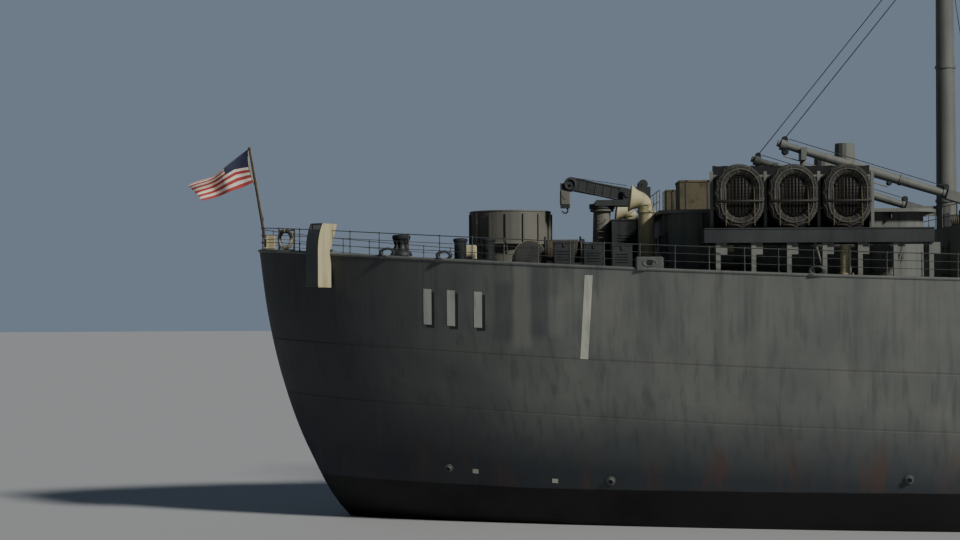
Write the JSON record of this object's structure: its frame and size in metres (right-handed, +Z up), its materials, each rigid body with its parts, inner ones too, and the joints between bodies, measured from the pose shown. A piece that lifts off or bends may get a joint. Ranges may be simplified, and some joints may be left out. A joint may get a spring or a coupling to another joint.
{
  "type": "naval troop transport ship, 1:10 scale model",
  "caption": "Grey naval troop transport at one tenth scale, with a round stern, long deckhouses, funnels, kingposts, lifeboats and a raked ensign staff.",
  "frame": {"origin": "on the waterline, amidships, on the centreline", "axes": "+X forward to the bow, +Y to port, +Z up"},
  "size_m": [19.319, 2.3, 4.7456],
  "materials": {
    "hull_paint": "matt grey sea paint, worn and streaked, black at the waterline",
    "house_paint": "matt grey paint",
    "dark_paint": "matt dark grey paint",
    "cream_paint": "weathered cream paint",
    "bronze": "cast, dull",
    "canvas": "weathered canvas",
    "bunting": "woven wool bunting"
  },
  "bodies": {
    "ship": {"hull": "hull_paint", "shaft_and_strut_starboard": "hull_paint", "shaft_and_strut_port": "hull_paint", "main_deckhouse": "house_paint", "upper_deckhouse": "house_paint", "bridge_house": "house_paint", "funnel_forward": "house_paint", "funnel_aft": "house_paint", "foremast": "house_paint", "mainmast": "house_paint", "kingposts_forward": "house_paint", "kingposts_aft": "house_paint", "cargo_hatch_forward": "canvas", "cargo_hatch_bow": "canvas", "breakwater": "house_paint", "after_deckhouse": "house_paint", "float_rack_starboard": "house_paint", "float_rack_port": "house_paint", "life_floats_starboard": "canvas", "life_floats_port": "canvas", "davit_trackways_starboard": "house_paint", "davit_trackways_port": "house_paint", "stern_tub": "house_paint", "crane_pedestal": "house_paint", "mooring_winch": "dark_paint", "mooring_bitts_starboard": "dark_paint", "mooring_bitts_port": "dark_paint", "rail_lockers_starboard": "dark_paint", "rail_lockers_port": "dark_paint", "hawser_reel_starboard": "canvas", "hawser_reel_port": "canvas", "ventilator_starboard": "cream_paint", "ventilator_port": "cream_paint", "rubbish_chute": "cream_paint", "flagstaff": "dark_paint", "ensign": "bunting", "ring_buoy": "cream_paint", "anchor_starboard": "dark_paint", "anchor_port": "dark_paint", "anchor_windlass": "dark_paint"},
    "rudder_body": {"rudder": "hull_paint"},
    "propeller_starboard_body": {"propeller_starboard": "bronze"},
    "propeller_port_body": {"propeller_port": "bronze"},
    "radar_antenna_body": {"radar_antenna": "house_paint"},
    "capstan_body": {"capstan": "dark_paint"},
    "crane_head_body": {"crane_head": "dark_paint"},
    "crane_jib_body": {"crane_jib": "dark_paint"},
    "lifeboat_starboard_1_body": {"lifeboat_starboard_1": "canvas"},
    "lifeboat_starboard_2_body": {"lifeboat_starboard_2": "canvas"},
    "lifeboat_starboard_3_body": {"lifeboat_starboard_3": "canvas"},
    "lifeboat_port_1_body": {"lifeboat_port_1": "canvas"},
    "lifeboat_port_2_body": {"lifeboat_port_2": "canvas"},
    "lifeboat_port_3_body": {"lifeboat_port_3": "canvas"},
    "cargo_boom_forward_starboard_body": {"cargo_boom_forward_starboard": "house_paint"},
    "cargo_boom_forward_port_body": {"cargo_boom_forward_port": "house_paint"},
    "cargo_boom_aft_starboard_body": {"cargo_boom_aft_starboard": "house_paint"},
    "cargo_boom_aft_port_body": {"cargo_boom_aft_port": "house_paint"}
  },
  "joints": [
    {"name": "rudder_turn", "type": "hinge", "parent": "ship", "child": "rudder_body", "pos_m": [-8.79, 0, -0.2], "axis": [0, 0, 1], "range_deg": [-35, 35]},
    {"name": "propeller_starboard_spin", "type": "hinge", "parent": "ship", "child": "propeller_starboard_body", "pos_m": [-8.35, -0.39, -0.355], "axis": [1, 0, 0], "continuous": true},
    {"name": "propeller_port_spin", "type": "hinge", "parent": "ship", "child": "propeller_port_body", "pos_m": [-8.35, 0.39, -0.355], "axis": [1, 0, 0], "continuous": true},
    {"name": "radar_spin", "type": "hinge", "parent": "ship", "child": "radar_antenna_body", "pos_m": [3.75, 0, 4], "axis": [0, 0, 1], "continuous": true},
    {"name": "capstan_turn", "type": "hinge", "parent": "ship", "child": "capstan_body", "pos_m": [-8.8, -0.3, 1.25], "axis": [0, 0, 1], "continuous": true},
    {"name": "crane_slew", "type": "hinge", "parent": "ship", "child": "crane_head_body", "pos_m": [-7.86, -0.15, 1.45], "axis": [0, 0, 1], "range_deg": [-90, 90]},
    {"name": "crane_luff", "type": "hinge", "parent": "crane_head_body", "child": "crane_jib_body", "pos_m": [-7.74, -0.15, 1.514], "axis": [0, 1, 0], "range_deg": [0, 35]},
    {"name": "cargo_boom_forward_starboard_topping", "type": "hinge", "parent": "ship", "child": "cargo_boom_forward_starboard_body", "pos_m": [6.115, -0.52, 1.56], "axis": [0, -1, 0], "range_deg": [0, 40]},
    {"name": "cargo_boom_forward_port_topping", "type": "hinge", "parent": "ship", "child": "cargo_boom_forward_port_body", "pos_m": [6.115, 0.52, 1.56], "axis": [0, -1, 0], "range_deg": [0, 40]},
    {"name": "cargo_boom_aft_starboard_topping", "type": "hinge", "parent": "ship", "child": "cargo_boom_aft_starboard_body", "pos_m": [-6.215, -0.46, 1.46], "axis": [0, 1, 0], "range_deg": [0, 40]},
    {"name": "cargo_boom_aft_port_topping", "type": "hinge", "parent": "ship", "child": "cargo_boom_aft_port_body", "pos_m": [-6.215, 0.46, 1.46], "axis": [0, 1, 0], "range_deg": [0, 40]},
    {"name": "lifeboat_starboard_1_launch", "type": "slide", "parent": "ship", "child": "lifeboat_starboard_1_body", "axis": [0, -0.8856, -0.4644], "range_m": [0, 0.18]},
    {"name": "lifeboat_starboard_2_launch", "type": "slide", "parent": "ship", "child": "lifeboat_starboard_2_body", "axis": [0, -0.8856, -0.4644], "range_m": [0, 0.18]},
    {"name": "lifeboat_starboard_3_launch", "type": "slide", "parent": "ship", "child": "lifeboat_starboard_3_body", "axis": [0, -0.8856, -0.4644], "range_m": [0, 0.18]},
    {"name": "lifeboat_port_1_launch", "type": "slide", "parent": "ship", "child": "lifeboat_port_1_body", "axis": [0, 0.8856, -0.4644], "range_m": [0, 0.18]},
    {"name": "lifeboat_port_2_launch", "type": "slide", "parent": "ship", "child": "lifeboat_port_2_body", "axis": [0, 0.8856, -0.4644], "range_m": [0, 0.18]},
    {"name": "lifeboat_port_3_launch", "type": "slide", "parent": "ship", "child": "lifeboat_port_3_body", "axis": [0, 0.8856, -0.4644], "range_m": [0, 0.18]}
  ]
}
